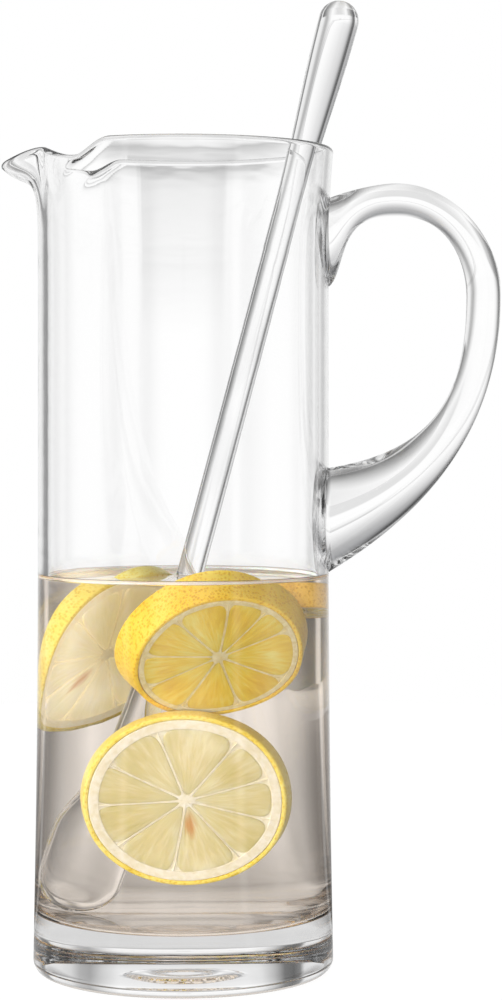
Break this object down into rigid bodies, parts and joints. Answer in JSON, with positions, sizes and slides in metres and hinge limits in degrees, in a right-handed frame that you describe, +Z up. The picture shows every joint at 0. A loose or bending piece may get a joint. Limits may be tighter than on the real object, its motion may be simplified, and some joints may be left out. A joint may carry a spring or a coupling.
{
  "type": "cocktail pitcher",
  "caption": "Tall straight glass cocktail pitcher with a pulled spout, an ear handle and a lift-out glass stirrer, part full of a lemon drink.",
  "frame": {"origin": "on the vessel's axis, in the plane of the table it stands on", "axes": "+Z up along the vessel's axis, +X towards the handle, -X towards the spout, +Y away from the viewer of the picture"},
  "size_m": [0.1583, 0.0948, 0.3088],
  "materials": {
    "vessel_glass": "polished",
    "stirrer_glass": "polished",
    "drink": "polished",
    "lemon_peel": "satin",
    "lemon_pith": "matte",
    "lemon_pulp": "satin",
    "lemon_seed": "satin"
  },
  "bodies": {
    "pitcher": {"vessel": "vessel_glass", "handle": "vessel_glass", "drink": "drink", "upper_slice_peel": "lemon_peel", "upper_slice_pith": "lemon_pith", "upper_slice_pulp": "lemon_pulp", "lower_slice_peel": "lemon_peel", "lower_slice_pith": "lemon_pith", "lower_slice_pulp": "lemon_pulp", "lower_slice_seed": "lemon_seed", "back_slice_peel": "lemon_peel", "back_slice_pith": "lemon_pith", "back_slice_pulp": "lemon_pulp", "back_slice_seed": "lemon_seed", "end_slice_peel": "lemon_peel", "end_slice_pith": "lemon_pith", "end_slice_pulp": "lemon_pulp"},
    "stirring_rod": {"stirrer": "stirrer_glass"}
  },
  "joints": [
    {"name": "stirrer_lift", "type": "slide", "parent": "pitcher", "child": "stirring_rod", "axis": [0.2377, -0.0437, 0.9703], "range_m": [0, 0.25], "deforming": ["drink"]}
  ]
}
